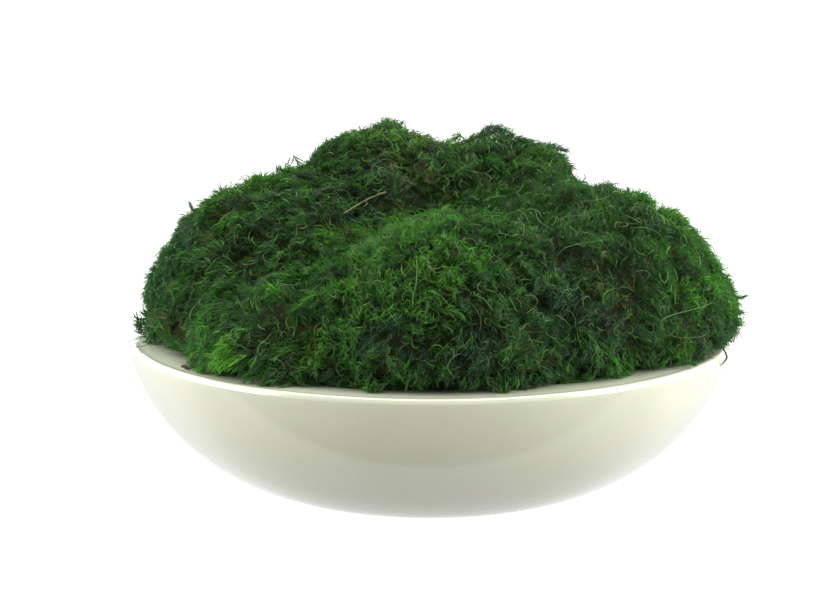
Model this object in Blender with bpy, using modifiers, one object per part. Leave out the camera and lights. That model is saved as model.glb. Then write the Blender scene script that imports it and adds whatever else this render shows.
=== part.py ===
"""Preserved moss clumps heaped in a low glazed bowl, in metres, +Z up, the bowl's foot on z = 0.

The bowl is one turned body with a broad flat rim. A low dome of dry packing fills it, level with the
rim at its edge. Each clump of moss is a cushion that grows out from its core until it meets its own
outline, a neighbouring clump, the packing or the rim, the way soft clumps settle when they are
pressed together.
"""

import math

import bmesh
import bpy
from mathutils import Euler, Vector, noise

# Bowl, as points of its profile in (radius, height)
RIM_RADIUS = 0.172
BOWL_HEIGHT = 0.0902
LIP_ROUND = 0.0030           # radius of the rim's outer edge
RIM_INNER_RADIUS = 0.1445
RIM_INNER_ROUND = 0.0030
RIM_FALL = 0.0006            # from the outer to the inner edge of the rim's flat
BELLY_START_RADIUS = 0.066   # where the wall starts to rise from the underside
FOOT_RADIUS = 0.052
FOOT_HEIGHT = 0.0022
FLOOR_RADIUS = 0.058
FLOOR_HEIGHT = 0.0085
OUTER_HANDLE = 0.36          # pull of a wall's curve at each end, as a share of its chord
INNER_HANDLE = 0.38
RIM_LEAN = math.radians(80)  # a wall's slope at the rim, from the horizontal
OUTER_STEPS = 8
INNER_STEPS = 5
ROUND_STEPS = 3
TURN_STEPS = 44

# Packing, a dome that meets the rim
PACKING_TOP = 0.1120
PACKING_DOME_RADIUS = 0.470
DOME_STEPS = 4

# Moss
GAP = 0.0008                 # between pieces that touch
CREASE_SOFTNESS = 0.0022     # how far a clump rounds off where it meets something
LUMP_SIZE = 0.026
LUMP_DEPTH = 0.04            # share of the clump's size
LEAST_CORE_HEIGHT = 0.016    # over its support, of the core that a clump grows from
MEAN_RADIUS = 0.070          # turns a share of a clump's outline into metres
MARCH_STEP = 0.004
LOWEST_RAY = -80             # degrees
MERIDIANS = 36
ROWS = 12                    # from a clump's top to the middle of its underside
ROWS_ABOVE = 9               # of them down to its base edge

# name: (middle, radii, power, turn about z in degrees), x to the right and y to the back. A power of 2
# is an ellipsoid, less draws its flanks in.
CLUMPS = {
    "moss_clump_back_left": ((-0.020, 0.052, 0.1405), (0.070, 0.070, 0.068), 2.0, 0),
    "moss_clump_back_right": ((0.046, 0.050, 0.1425), (0.053, 0.066, 0.060), 2.0, 0),
    "moss_clump_left": ((-0.086, 0.000, 0.0980), (0.081, 0.082, 0.084), 1.90, 0),
    "moss_clump_right": ((0.086, -0.030, 0.0990), (0.115, 0.080, 0.080), 1.95, 54),
    "moss_clump_front": ((0.009, -0.082, 0.0980), (0.079, 0.081, 0.072), 2.0, 0),
    "moss_clump_front_left": ((-0.078, -0.093, 0.0900), (0.058, 0.047, 0.046), 2.0, -39),
    "moss_clump_rear_left": ((-0.057, 0.083, 0.1000), (0.078, 0.064, 0.068), 2.0, 36),
    "moss_clump_rear_right": ((0.061, 0.086, 0.0970), (0.084, 0.061, 0.066), 2.0, -38),
}

MOSS_COLOURS = {
    "moss_clump_back_left": (0.030, 0.064, 0.018),
    "moss_clump_back_right": (0.027, 0.061, 0.020),
    "moss_clump_left": (0.028, 0.058, 0.017),
    "moss_clump_right": (0.027, 0.066, 0.020),
    "moss_clump_front": (0.031, 0.070, 0.016),
    "moss_clump_front_left": (0.038, 0.086, 0.015),
    "moss_clump_rear_left": (0.027, 0.056, 0.018),
    "moss_clump_rear_right": (0.029, 0.063, 0.018),
}
GLAZE_COLOUR = (0.80, 0.82, 0.68)
PACKING_COLOUR = (0.10, 0.11, 0.05)


def clear_scene():
    for obj in list(bpy.data.objects):
        bpy.data.objects.remove(obj, do_unlink=True)


def finish_of(name, colour, roughness):
    material = bpy.data.materials.new(name)
    material.use_nodes = True
    shader = material.node_tree.nodes["Principled BSDF"]
    shader.inputs["Base Color"].default_value = (*colour, 1.0)
    shader.inputs["Roughness"].default_value = roughness
    shader.inputs["Metallic"].default_value = 0.0
    return material


def wall_curve(start, end, handle, steps):
    """Points of a Bezier curve that leaves start level and reaches end with the rim's lean."""
    reach = handle * (end - start).length
    first = start + reach * Vector((1.0, 0.0))
    second = end - reach * Vector((math.cos(RIM_LEAN), math.sin(RIM_LEAN)))
    points = []
    for step in range(steps + 1):
        t = step / steps
        s = 1.0 - t
        points.append(s**3 * start + 3 * s * s * t * first + 3 * s * t * t * second + t**3 * end)
    return points


def rounding(middle, radius, start_degrees, end_degrees):
    points = []
    for step in range(1, ROUND_STEPS + 1):
        share = step / ROUND_STEPS
        angle = math.radians(start_degrees + share * (end_degrees - start_degrees))
        points.append(middle + radius * Vector((math.cos(angle), math.sin(angle))))
    return points


def inner_wall():
    top = Vector((RIM_INNER_RADIUS, BOWL_HEIGHT - RIM_FALL - RIM_INNER_ROUND))
    return wall_curve(Vector((FLOOR_RADIUS, FLOOR_HEIGHT)), top, INNER_HANDLE, INNER_STEPS)


def bowl_profile():
    """From the middle of the inside floor, over the rim and down the outside to the foot's middle."""
    inside = inner_wall()
    outside = wall_curve(
        Vector((BELLY_START_RADIUS, FOOT_HEIGHT)),
        Vector((RIM_RADIUS, BOWL_HEIGHT - LIP_ROUND)),
        OUTER_HANDLE,
        OUTER_STEPS,
    )
    inner_middle = inside[-1] + Vector((RIM_INNER_ROUND, 0.0))
    outer_middle = outside[-1] - Vector((LIP_ROUND, 0.0))
    inner_edge = rounding(inner_middle, RIM_INNER_ROUND, 180, 90)
    outer_edge = [outer_middle + Vector((0.0, LIP_ROUND)), *rounding(outer_middle, LIP_ROUND, 90, 0)]
    foot = [Vector((FOOT_RADIUS, FOOT_HEIGHT)), Vector((FOOT_RADIUS, 0.0)), Vector((0.0, 0.0))]
    floor_middle = Vector((0.0, FLOOR_HEIGHT))
    return [floor_middle, *inside, *inner_edge, *outer_edge, *outside[-2::-1], *foot]


def packing_surface(radius):
    """Height of the packing's dome."""
    drop = PACKING_DOME_RADIUS - math.sqrt(PACKING_DOME_RADIUS**2 - radius**2)
    return PACKING_TOP - drop


def packing_profile():
    """From the dome's middle down its slope, and down the bowl's inside with a gap to it."""
    wall = inner_wall()
    sides = []
    for before, point, after in zip(wall, wall[1:], wall[2:]):
        along = (after - before).normalized()
        sides.append(point + GAP * Vector((-along.y, along.x)))
    edge_radius = RIM_INNER_RADIUS - GAP
    shares = [step / DOME_STEPS for step in range(DOME_STEPS + 1)]
    dome = [Vector((share * edge_radius, packing_surface(share * edge_radius))) for share in shares]
    floor = FLOOR_HEIGHT + GAP
    return [*dome, *reversed(sides), Vector((FLOOR_RADIUS, floor)), Vector((0.0, floor))]


def turned(name, profile, material, collection):
    mesh = bpy.data.meshes.new(name)
    points = [(p.x, 0.0, p.y) for p in profile]
    edges = [(i, i + 1) for i in range(len(points) - 1)]
    mesh.from_pydata(points, edges, [])
    mesh.materials.append(material)
    solid = bpy.data.objects.new(name, mesh)
    collection.objects.link(solid)
    turn = solid.modifiers.new("turn", "SCREW")
    turn.steps = turn.render_steps = TURN_STEPS
    turn.use_merge_vertices = True
    turn.merge_threshold = 0.0001
    turn.use_smooth_shade = True
    return solid


# Clearances: how many metres a point has left before it leaves a shape, less than 0 outside it

def support_height(point):
    """Of the packing or the rim, on which the moss lies."""
    radius = min(math.hypot(point.x, point.y), RIM_RADIUS)
    return GAP + max(packing_surface(radius), BOWL_HEIGHT)


def outline_level(point, name):
    """0 at the middle of a clump's outline and 1 on it."""
    middle, radii, power, turn = CLUMPS[name]
    offset = point - Vector(middle)
    offset.rotate(Euler((0.0, 0.0, -math.radians(turn))))
    total = sum(abs(value / radius) ** power for value, radius in zip(offset, radii))
    return total ** (1.0 / power)


def clump_clearance(point, name, neighbours):
    """From its own outline and its neighbours, with the support left out."""
    level = outline_level(point, name)
    lump = LUMP_DEPTH * noise.noise(point / LUMP_SIZE)
    rooms = [MEAN_RADIUS * (1.0 + lump - level)]
    for other in neighbours:
        rooms.append(MEAN_RADIUS * (outline_level(point, other) - level) - GAP)
    least = min(rooms)
    total = sum(math.exp((least - room) / CREASE_SOFTNESS) for room in rooms)
    return least - CREASE_SOFTNESS * math.log(total)


def grow(core, direction, clearance):
    """The first point out from the core where there is no clearance left."""
    reach = 0.0
    while clearance(core + (reach + MARCH_STEP) * direction) > 0.0:
        reach += MARCH_STEP
    end = halve(reach, reach + MARCH_STEP, lambda r: clearance(core + r * direction) > 0.0)
    return core + end * direction


def halve(low, high, holds):
    """The end of the stretch, from low towards high, over which holds is true."""
    for _ in range(12):
        middle = (low + high) / 2
        if holds(middle):
            low = middle
        else:
            high = middle
    return low


def ray(azimuth, elevation):
    level = math.cos(elevation)
    return Vector((level * math.cos(azimuth), level * math.sin(azimuth), math.sin(elevation)))


def clump_point(core, azimuth, lowest, row, clearance):
    """The surface point of a row: rows run from the top down to the base edge and then inwards."""
    if row <= ROWS_ABOVE:
        elevation = math.pi / 2 + (lowest - math.pi / 2) * row / ROWS_ABOVE
        return grow(core, ray(azimuth, elevation), clearance)
    edge = grow(core, ray(azimuth, lowest), clearance)
    share = (ROWS - row) / (ROWS - ROWS_ABOVE)
    under = core + share * (edge - core)
    under.z = support_height(under)
    return under


def make_clump(name, collection):
    middle = Vector(CLUMPS[name][0])
    neighbours = []
    for other in CLUMPS:
        apart = (Vector(CLUMPS[other][0]) - middle).length
        if other != name and apart < max(CLUMPS[name][1]) + max(CLUMPS[other][1]):
            neighbours.append(other)
    core = middle.copy()
    core.z = max(core.z, support_height(middle) + LEAST_CORE_HEIGHT)

    def clearance(point):
        return clump_clearance(point, name, neighbours)

    def clears_support(azimuth, elevation):
        point = grow(core, ray(azimuth, elevation), clearance)
        return point.z > support_height(point)

    ball = bmesh.new()
    bmesh.ops.create_uvsphere(ball, u_segments=MERIDIANS, v_segments=ROWS, radius=1.0)
    lowest = {}
    for vertex in ball.verts:
        azimuth = math.atan2(vertex.co.y, vertex.co.x)
        row = round(ROWS * math.acos(max(-1.0, min(1.0, vertex.co.z))) / math.pi)
        meridian = round(azimuth * MERIDIANS / (2 * math.pi)) % MERIDIANS
        if meridian not in lowest:
            lowest[meridian] = halve(
                0.0, math.radians(LOWEST_RAY), lambda angle: clears_support(azimuth, angle)
            )
        vertex.co = clump_point(core, azimuth, lowest[meridian], row, clearance)
    bmesh.ops.recalc_face_normals(ball, faces=ball.faces[:])
    mesh = bpy.data.meshes.new(name)
    ball.to_mesh(mesh)
    ball.free()
    mesh.shade_smooth()
    mesh.materials.append(finish_of(name, MOSS_COLOURS[name], 0.85))
    solid = bpy.data.objects.new(name, mesh)
    collection.objects.link(solid)
    return solid


def main():
    clear_scene()
    collection = bpy.data.collections.new("moss_bowl")
    bpy.context.scene.collection.children.link(collection)
    glaze = finish_of("ivory_glaze", GLAZE_COLOUR, 0.12)
    turned("bowl", bowl_profile(), glaze, collection)
    turned("packing", packing_profile(), finish_of("packing", PACKING_COLOUR, 0.9), collection)
    for name in CLUMPS:
        make_clump(name, collection)


main()
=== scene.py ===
"""Looks of the moss bowl: clumps of leafy moss that have grown together, what lies on them, and the bowl.

A clump is a dark mat, dead leaves that lie across it and leafy shoots that rise over them. Leaves are
strips, tapered and a few triangles long. Their colour comes from the map OFBake alone: across it runs the
kind of colour, from blue green over yellow green to straw and rust, and up it runs the light that reaches
a leaf, from deep in the moss to the tips. Metres, +Z up, the bowl's foot on z = 0.
"""

import math

import bpy
import numpy as np
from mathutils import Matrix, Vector, noise
from mathutils.bvhtree import BVHTree


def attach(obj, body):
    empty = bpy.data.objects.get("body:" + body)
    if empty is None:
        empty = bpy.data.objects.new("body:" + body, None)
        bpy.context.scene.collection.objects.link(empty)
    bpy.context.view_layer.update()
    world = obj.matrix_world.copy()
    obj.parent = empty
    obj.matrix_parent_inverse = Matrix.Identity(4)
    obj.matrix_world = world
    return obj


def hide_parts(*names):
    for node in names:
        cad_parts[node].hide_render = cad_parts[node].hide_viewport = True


RNG = np.random.default_rng(148)
UP = np.array([0.0, 0.0, 1.0])
GOLDEN_ANGLE = math.pi * (3.0 - math.sqrt(5.0))

# Camera, fitted to the bowl's rim and foot and to the heap's width and height
PHOTO_WIDTH, PHOTO_HEIGHT = 816, 612
SENSOR_MM = 36.0
LENS_MM = 100.14
CAMERA_DISTANCE = 1.310
CAMERA_ELEVATION = math.radians(10.94)
CAMERA_PIVOT = Vector((0.0, 0.0, 0.1008))
CAMERA_AIM = Vector((-0.0120, 0.0, 0.1057))
HEAP_TOP = 0.208
SEARCH_START = 0.08          # how far in front of the rim the way to a place that a pixel shows begins
SEARCH_ROUNDS = 60
SEARCH_STEP = 0.8            # share of the distance left that each round goes
NEAR_ENOUGH = 0.0002

# Studio light
FRONT_TO_SIDE = (0.55, 2.45)
BACK_SHARE = 0.60            # of the light from behind beside that from the sides
BRIGHT_WAY = (0.0, 1.0, -0.7)    # away from the dim part of the studio, in front and above
FLOOR_GREY = (0.15, 0.15, 0.15)
FLOOR_GLOW = 0.93            # to the eye
FLOOR_LIGHT = 0.42           # on the moss
FLOOR_EDGE = -0.164          # y in front of which the floor mirrored in the glaze is darker
MIRRORED_FRONT_TO_NEAR = (0.22, 0.60)
FLOOR_BESIDE = (-0.130, -0.035)  # y over which the mirrored floor grows brighter beside the bowl
MIRRORED_BESIDE = 0.34       # how much brighter
LIT_POINT = (0.0, 0.0, 0.1)
# Area lights: (name, place, size, watts)
LIGHTS = [
    ("overhead", (0.1, 0.15, 1.3), (1.1, 0.9), 6.0),
    ("right", (1.42, -0.35, 0.50), (1.0, 1.0), 17.0),
    ("left", (-1.45, -0.35, 0.45), (1.0, 1.0), 11.0),
]

# Bowl profile, the same points as the solid's
RIM_RADIUS = 0.172
BOWL_HEIGHT = 0.0902
LIP_ROUND = 0.0030
RIM_INNER_RADIUS = 0.1445
RIM_INNER_ROUND = 0.0030
RIM_FALL = 0.0006
BELLY_START_RADIUS = 0.066
FOOT_RADIUS = 0.052
FOOT_HEIGHT = 0.0022
FLOOR_RADIUS = 0.058
FLOOR_HEIGHT = 0.0085
OUTER_HANDLE = 0.36
INNER_HANDLE = 0.38
RIM_LEAN = math.radians(80)
TURN_STEPS = 160
BESIDE_RIM, OVER_RIM = 0.0008, 0.0004    # how clear of the rim leaves stay
UNDER_RIM = 0.060            # height below which they pass it

# How clumps grow together
BLEND = 0.0105               # softness of the creases between clumps
BLEND_REACH = 0.050          # beyond it a neighbour counts no more
BLEND_ROUNDS = 5
LAST_MOVE = 0.0010           # farther in the last round, and a place hasn't settled on the rounded form
LEAST_WAY_OUT = 0.24         # less, and a place lies pressed between two clumps
OPEN_REACH = 0.035           # how far off a neighbour still shades a place
OPEN_RAYS = 12               # from a place, to see how open it lies
LEAST_OPEN = 0.11
MAT_DEPTH = 0.0098           # of the dark mat below the shoots' crowns
DEEPEST_FILLING = 0.015      # of a crease that the mat still fills
HIDDEN_DEPTH = 0.0012        # of the mat below the solid's own form, in deeper creases
MAT_ROUGHNESS = 0.0014
MAT_LUMP_SIZE = 0.010
MAT_CLOUD_SIZE = 0.007       # of its lighter and darker, browner and greener clouds
# painted shade: the mat's light on the colour map is low, as the shade deep in the moss
MAT_LIGHT = 0.10

# Shoots and leaves
SHOOT_SPACING = 0.0034
LEAVES_PER_SHOOT = 25
LITTER_PER_SHOOT = 2         # dead leaves on the mat under each shoot
BROWN_LITTER = 0.55          # share of the dead leaves that are brown
STEM_LENGTH = 0.0120
STEM_LEANS = (8.0, 34.0, 22.0)   # degrees at a stem's root: of all, most by its patch, most of its own
STEM_TURN = (25.0, 65.0)     # degrees by which a stem bends over on its way
FIRST_LEAF = 0.2             # share of the way along its stem
ROOT_FLARE, TIP_FLARE = 58.0, 14.0   # degrees between a stem and its leaves
FLARE_NOISE = 8.0
LEAST_BEND, MOST_BEND, CURLY_BEND = 15.0, 60.0, 80.0   # degrees by which leaves bend
LEAF_LENGTH = 0.0069
LEAF_WIDTH = 0.00062
LEAF_POINTS = 3              # along a leaf, tip included
LITTER_DEPTH = (0.35, 0.85)  # share of the mat's depth
# painted shade: dead leaves deep in the moss take a low light on the colour map
LITTER_LIGHT = (0.14, 0.38)
CURL_POINTS = 11             # along a loose curled stem
CURL_WIDTH = (0.00034, 0.00064)
CURL_ROOTS = (0.0005, 0.0035)    # height of its start over the moss
CURL_LIFT = (0.1, 0.45)      # how steeply it leaves the moss and comes back
CURLS_START = 0.102          # height from which loose stems lie on the moss
STRAND_LIFT = 0.0040         # of the middle of a stem that the photograph shows, over the moss
PATCH_SIZE = 0.024           # of patches within which the moss lies the same way
LOCK_SIZE = 0.0095           # of the locks whose shoots bend together towards a shared tip
LOCK_LENGTH = 0.011          # how far ahead of a lock's middle its tip lies
LOCK_RELIEF = 0.0028         # how much lower a lock's edge is than its middle
LOCK_HEIGHTS = 0.0012        # how much the locks' heights differ
TALL_RISE = 0.0034           # of the tall locks over the others
TALL_SHARE = 0.12
PATCH_TONES, LOCK_TONES, LEAF_TONES = 0.070, 0.040, 0.080   # how much their colours differ
GROWTH_LIGHTS = (0.92, 1.06)  # of patches, and again of locks
BRIGHT_LEAVES, WITHERED_LEAVES = 0.09, 0.022                # shares of all leaves
BRIGHT_LIGHT, LEAF_LIGHT = (0.78, 1.08), (0.54, 0.72)
BRIGHT_SHIFT = 0.14          # of the bright leaves' colour, towards fresh green
CROWN_DROP = 0.0020          # of the shoots' crowns below the rounded form, for the leaves over them
# painted light: a leaf's root is painted a little lighter than its tip, against the shade deep in the moss
ROOT_LIGHT = 1.05            # of a leaf's root beside its tip

# Glaze and stems
PAINTED_RIM_RADII = (0.140, 0.180)     # at 0 and at 1 of the painted light and shade over the rim
# painted light and shade: the glaze is painted a little lighter on the flat rim and darker over the top of
# the lip
PAINTED_RIM_LIGHT = {
    0.00: (1.00, 1.00, 1.00),
    0.10: (1.02, 1.03, 1.04),
    0.64: (1.06, 1.07, 1.09),
    0.72: (0.70, 0.70, 0.67),
    0.80: (0.78, 0.78, 0.75),
}
PAINTED_LIP_HEIGHTS = (0.0872, 0.0894)     # heights between which that comes in
GLAZE_CLOUDS = {0.35: (0.764, 0.785, 0.588), 0.65: (0.794, 0.810, 0.628)}
GLAZE_DOTS = (0.55, 0.52, 0.36, 1.0)
DOT_EDGE, DOT_STRENGTH = (0.74, 0.80), 0.15
GLOSS_RANGE = (0.09, 0.15)       # of the glaze's roughness
CLAY_ROUGHNESS = 0.8
# Grain of the noise in the glaze and the clay, per metre
CLOUD_GRAIN, DOT_GRAIN, CLAY_GRAIN, GLOSS_GRAIN, WAVE_GRAIN = 22.0, 900.0, 1400.0, 60.0, 45.0
CLAY_COLOURS = {0.3: (0.46, 0.41, 0.33), 0.7: (0.60, 0.55, 0.46)}
CLAY_EDGE = (0.0006, 0.0010)     # heights between which the foot's clay ends
STRAW_DARK, STRAW_LIGHT = (0.070, 0.075, 0.016), (0.150, 0.152, 0.038)
BARK_DARK, BARK_LIGHT = (0.020, 0.013, 0.006), (0.065, 0.045, 0.022)
STRAW_GRAIN, BARK_GRAIN = 500.0, 700.0

# The colour map: its ends are left free, and a leaf or stem is a little broad on it, never a mere line
MAP_ENDS, TONE_ENDS = (0.002, 0.998), (0.01, 0.99)
LEAF_BREADTH, STEM_BREADTH = 0.006, 0.003

# Where a leaf's colour lies across the map
BLUE_GREEN, FOREST, VIVID, MID_GREEN = 0.06, 0.19, 0.31, 0.42
FRESH, OLIVE, STRAW, RUST = 0.58, 0.70, 0.84, 0.95
LEAF_COLOURS = {
    BLUE_GREEN: (0.072, 0.150, 0.100),
    FOREST: (0.118, 0.182, 0.094),
    VIVID: (0.078, 0.236, 0.052),
    MID_GREEN: (0.135, 0.280, 0.072),
    FRESH: (0.165, 0.415, 0.060),
    OLIVE: (0.180, 0.215, 0.065),
    STRAW: (0.250, 0.440, 0.170),
    RUST: (0.175, 0.115, 0.055),
}
LIGHT_THROUGH = (0.66, 1.36, 0.46)   # how a leaf tints the light that shines through it
LEAF_SHADES = {
    0.00: (0.220, 0.180, 0.215),
    0.35: (0.570, 0.510, 0.570),
    0.70: (0.905, 0.925, 0.890),
    1.00: (1.300, 1.400, 1.220),
}

# name: (way the moss is combed, how strongly, how curly its leaves are, colour, light)
CLUMP_LOOKS = {
    "moss_clump_back_left": ((0.2, -0.2, -1.0), 0.8, 0.5, 0.25, 1.00),
    "moss_clump_back_right": ((0.9, -0.2, -0.3), 0.9, 0.8, 0.24, 0.94),
    "moss_clump_left": ((-0.7, -0.3, -0.9), 1.3, 0.3, 0.24, 1.00),
    "moss_clump_right": ((0.3, -0.3, -0.8), 0.6, 1.1, 0.25, 0.95),
    "moss_clump_front": ((0.0, -0.4, -1.0), 0.9, 0.8, 0.28, 1.00),
    "moss_clump_front_left": ((-0.4, -0.4, -1.0), 1.3, 0.2, 0.28, 1.00),
    "moss_clump_rear_left": ((-0.3, 0.5, -0.9), 0.9, 0.5, 0.25, 1.00),
    "moss_clump_rear_right": ((0.4, 0.5, -0.9), 0.9, 0.5, 0.26, 1.00),
}
RIM_MOSS_LOOK = ((0.0, 0.0, -0.6), 0.6, 0.5, 0.26, 0.95)
RIM_MOSS_START = 0.122       # radius from which moss on the packing fills the notches at the rim
RIM_MOSS_RISE = 0.007
RIM_MOSS_OPEN = 0.22
# painted shade: the packing's floor under the rim moss is painted dark
PACKING_TONE, PACKING_LIGHT = 0.60, 0.18
# painted light and shade: moss near the rim painted lighter and moss at the peak darker, against how the
# light falls on the heap
LOW_LIGHT, HIGH_LIGHT = 1.15, 0.72   # of moss near the rim and of moss at the peak
# painted shade: moss that faces up is painted darker than moss that faces sideways
SIDE_LIGHT, TOP_LIGHT = 1.05, 0.85   # of moss that faces sideways and of moss that faces up

# Places with a colour of their own, and places of painted shade and painted light: (middle, reach, colour
# across the map, light, share of the leaves)
TINTS_AND_PAINTED_LIGHT = [
    # painted shade: these darker forest green places
    ((-0.092, -0.060, 0.149), 0.030, FOREST, 0.80, 0.90),
    ((-0.086, -0.132, 0.112), 0.024, FOREST + 0.02, 0.76, 0.90),
    ((0.049, -0.045, 0.168), 0.036, FOREST + 0.05, 0.74, 0.90),
    ((0.094, -0.070, 0.168), 0.050, FOREST + 0.05, 0.86, 0.85),
    ((0.034, -0.066, 0.168), 0.026, FOREST + 0.04, 0.80, 0.85),
    ((-0.055, -0.095, 0.138), 0.022, FOREST + 0.04, 0.86, 0.80),
    ((-0.108, -0.085, 0.126), 0.026, FOREST + 0.05, 0.86, 0.80),
    ((0.143, -0.064, 0.142), 0.016, FOREST, 0.78, 0.85),
    # painted light: lighter mid green along the outline, for light shining through the edge leaves
    ((0.154, -0.010, 0.135), 0.034, MID_GREEN, 1.15, 0.55),
    ((0.128, -0.015, 0.162), 0.022, MID_GREEN, 1.15, 0.60),
    ((-0.105, 0.000, 0.172), 0.028, MID_GREEN, 1.08, 0.45),
    # painted shade: two more darker forest green places
    ((-0.066, -0.015, 0.178), 0.020, FOREST + 0.02, 0.78, 0.85),
    ((0.064, 0.000, 0.175), 0.018, FOREST + 0.04, 0.82, 0.85),
    ((-0.012, 0.030, 0.202), 0.022, OLIVE, 1.00, 0.70),
    ((-0.012, 0.008, 0.188), 0.022, RUST - 0.01, 1.20, 0.30),
    ((-0.002, 0.040, 0.201), 0.017, OLIVE - 0.03, 1.30, 0.75),
    ((0.024, 0.030, 0.193), 0.020, VIVID, 1.10, 0.50),
    ((-0.110, -0.126, 0.101), 0.016, FRESH - 0.04, 1.50, 0.95),
    ((-0.028, -0.078, 0.166), 0.026, MID_GREEN, 1.05, 0.60),
    ((0.018, -0.078, 0.169), 0.022, VIVID, 1.00, 0.55),
    ((-0.020, -0.014, 0.160), 0.014, MID_GREEN, 1.00, 0.60),
    ((-0.120, -0.045, 0.153), 0.016, RUST, 0.90, 0.22),
    ((-0.045, -0.042, 0.152), 0.011, RUST, 1.20, 0.55),
    ((0.101, -0.107, 0.136), 0.013, RUST, 0.95, 0.22),
    ((-0.145, -0.052, 0.113), 0.014, RUST, 0.90, 0.22),
    ((-0.064, -0.137, 0.110), 0.012, FRESH, 1.10, 0.60),
]

# Places where the moss lies lower or stands higher than its clump's outline: (middle, reach, rise)
SHAPING = [
    ((0.1330, -0.005, 0.158), 0.026, 0.0045),
    ((-0.1650, 0.000, 0.098), 0.026, -0.0040),
    ((-0.1520, -0.015, 0.122), 0.026, 0.0025),
    ((-0.1380, -0.080, 0.096), 0.024, -0.0060),
    ((0.1560, -0.048, 0.100), 0.028, 0.0055),
    ((0.1400, -0.076, 0.097), 0.030, 0.0030),
    ((0.0165, 0.050, 0.190), 0.030, -0.0065),
    ((0.1600, -0.005, 0.138), 0.026, -0.0040),
    ((-0.0680, 0.020, 0.188), 0.020, -0.0020),
    ((-0.0040, 0.050, 0.206), 0.024, -0.0080),
    ((-0.0040, 0.075, 0.200), 0.026, -0.0080),
    ((0.0620, 0.045, 0.198), 0.024, -0.0040),
]

# Loose curled stems: (amount, lengths, how curly, colour across the map, light)
CURLS = [
    (700, (0.005, 0.014), 2.6, STRAW - 0.04, 0.54),
    (2200, (0.004, 0.011), 2.2, FRESH - 0.02, 0.58),
]

# Curled stems that lie free on the moss, by the pixels of the photograph that they pass through:
# (colour across the map, light, diameter, pixels)
STRANDS = {
    "hook_right": (STRAW, 0.50, 0.00055,
                   [(664, 331), (661, 322), (669, 316), (687, 311), (705, 306), (714, 301)]),
    "below_hook": (STRAW, 0.35, 0.00045, [(673, 336), (685, 338), (703, 336), (706, 330)]),
    "u_ring": (STRAW, 0.50, 0.00050, [(659, 271), (661, 279), (665, 283), (668, 276), (666, 267)]),
    "ring_by_u": (STRAW, 0.40, 0.00040, [(632, 274), (638, 271), (646, 271), (650, 275), (645, 279)]),
    "small_loop_right": (STRAW, 0.40, 0.00040, [(698, 285), (704, 290), (711, 288), (709, 282)]),
    "comma_right": (STRAW, 0.40, 0.00045, [(595, 262), (598, 269), (591, 273)]),
    "long_arch_right": (STRAW, 0.40, 0.00040, [(558, 255), (565, 248), (579, 244), (597, 241), (609, 239)]),
    "crook": (STRAW, 0.50, 0.00050, [(584, 308), (583, 300), (588, 296), (591, 301)]),
    "s_right": (FRESH, 0.55, 0.00050, [(604, 306), (603, 297), (608, 291), (616, 288)]),
    "stem_front": (STRAW, 0.45, 0.00045, [(416, 256), (417, 268), (416, 284), (413, 297), (412, 312)]),
    "stem_front_branch": (STRAW, 0.40, 0.00035, [(417, 284), (421, 280), (427, 278)]),
    "ring_front": (STRAW, 0.40, 0.00040, [(428, 252), (428, 261), (431, 269), (437, 273), (443, 271)]),
    "crook_front": (STRAW, 0.45, 0.00050, [(455, 378), (448, 369), (450, 361), (455, 356), (462, 353)]),
    "sweep_front": (FRESH, 0.55, 0.00045, [(424, 291), (434, 292), (442, 297), (447, 303), (452, 308)]),
    "arc_back_right": (STRAW, 0.40, 0.00040, [(453, 181), (455, 173), (464, 167), (476, 162)]),
    "arch_back_right": (STRAW, 0.40, 0.00045, [(483, 206), (485, 200), (493, 197), (507, 196)]),
    "sweep_right": (STRAW, 0.40, 0.00045, [(560, 224), (563, 217), (574, 216), (588, 215)]),
    "sweep_top_right": (STRAW, 0.35, 0.00040, [(579, 201), (590, 201), (601, 199), (610, 196)]),
    "riser_top_right": (STRAW, 0.35, 0.00035, [(602, 183), (603, 190), (609, 196)]),
    "arch_top_right": (STRAW, 0.45, 0.00045, [(630, 214), (634, 207), (640, 208), (643, 215)]),
    "tail_top_right": (STRAW, 0.40, 0.00045, [(630, 228), (645, 228), (658, 233), (665, 242)]),
    "comb_back_right": (STRAW, 0.40, 0.00040, [(516, 210), (524, 213), (530, 225)]),
    "comb_back_right_low": (STRAW, 0.40, 0.00040, [(535, 210), (540, 222), (556, 232)]),
    "arch_left": (STRAW, 0.30, 0.00040, [(331, 193), (339, 190), (348, 192), (350, 200)]),
    "ring_left": (STRAW, 0.30, 0.00035,
                  [(269, 250), (263, 256), (267, 262), (277, 262), (280, 254), (273, 250)]),
    "dash_left": (STRAW, 0.45, 0.00040, [(247, 262), (252, 261), (259, 261)]),
    "stalk_left": (STRAW, 0.35, 0.00055, [(205, 273), (211, 265), (217, 258)]),
    "smile_left": (STRAW, 0.45, 0.00050, [(295, 241), (301, 243), (306, 239)]),
    "sweep_left": (STRAW, 0.45, 0.00040, [(280, 283), (290, 285), (304, 283)]),
    "loop_left": (FRESH, 0.45, 0.00050, [(165, 291), (171, 292), (174, 302), (168, 311), (163, 304)]),
    "dash_front_left": (STRAW, 0.45, 0.00040, [(260, 343), (265, 343), (271, 344)]),
    "arch_front_left": (STRAW, 0.40, 0.00045, [(268, 360), (276, 359), (283, 364), (284, 373)]),
    "brown_stem": (RUST, 0.35, 0.00035, [(317, 243), (321, 254), (327, 267), (332, 280)]),
    "brown_stem_back": (RUST, 0.45, 0.00040, [(390, 195), (398, 205), (408, 213)]),
    "pale_bit_left": (STRAW, 0.40, 0.00050, [(282, 199), (287, 201), (290, 205)]),
    "riser_right": (OLIVE, 0.55, 0.00035, [(634, 276), (634, 284), (633, 291)]),
    "tail_front": (STRAW, 0.35, 0.00040, [(577, 331), (579, 341), (582, 350)]),
}

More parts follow.
